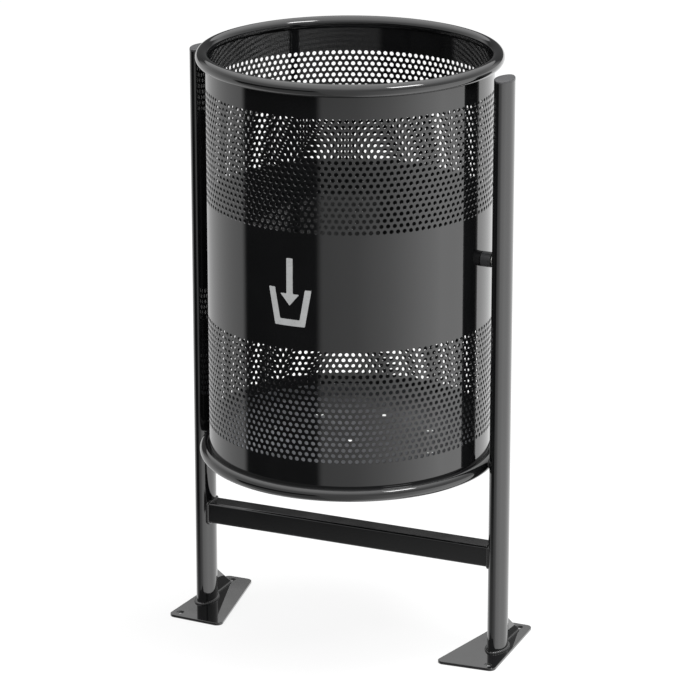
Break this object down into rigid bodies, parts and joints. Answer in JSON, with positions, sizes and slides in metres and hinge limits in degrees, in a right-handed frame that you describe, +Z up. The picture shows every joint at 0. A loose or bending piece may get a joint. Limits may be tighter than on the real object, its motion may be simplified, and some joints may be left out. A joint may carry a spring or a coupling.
{
  "type": "litter bin",
  "caption": "Round perforated steel litter bin, open at the top, hung between two oval posts on base plates so that it tips forward to empty.",
  "frame": {"origin": "on the ground, midway between the two posts", "axes": "+Z up; +X from the left post to the right post, along the pivot axis; -Y towards the front, where the sign is and where the basket tips"},
  "size_m": [0.501, 0.42, 0.84],
  "materials": {
    "powder_coat": "dark grey gloss powder coat",
    "cap_plastic": "moulded black polyethylene, satin",
    "bush_nylon": "turned black nylon, satin",
    "buffer_rubber": "black moulded rubber",
    "zinc_steel": "bright zinc plating",
    "sign_film": "pale grey sign film"
  },
  "bodies": {
    "stand": {"left_post": "powder_coat", "right_post": "powder_coat", "left_post_cap": "cap_plastic", "right_post_cap": "cap_plastic", "crossbar": "powder_coat", "left_bar_weld": "powder_coat", "right_bar_weld": "powder_coat", "left_base_plate": "powder_coat", "right_base_plate": "powder_coat", "left_gusset": "powder_coat", "right_gusset": "powder_coat", "left_foot_weld": "powder_coat", "right_foot_weld": "powder_coat", "left_insert": "zinc_steel", "right_insert": "zinc_steel", "left_pivot_stud": "zinc_steel", "right_pivot_stud": "zinc_steel", "left_washer": "zinc_steel", "right_washer": "zinc_steel", "left_lock_nut": "zinc_steel", "right_lock_nut": "zinc_steel", "left_buffer": "buffer_rubber", "right_buffer": "buffer_rubber"},
    "bin": {"basket_wall": "powder_coat", "seam_weld": "powder_coat", "top_ring": "powder_coat", "bottom_ring": "powder_coat", "floor_pan": "powder_coat", "left_pivot_plate": "powder_coat", "right_pivot_plate": "powder_coat", "left_bush": "bush_nylon", "right_bush": "bush_nylon", "bucket_sign": "sign_film"}
  },
  "joints": [
    {"name": "bin_tilt", "type": "hinge", "parent": "stand", "child": "bin", "pos_m": [0, 0, 0.5675], "axis": [1, 0, 0], "range_deg": [0, 150]}
  ]
}
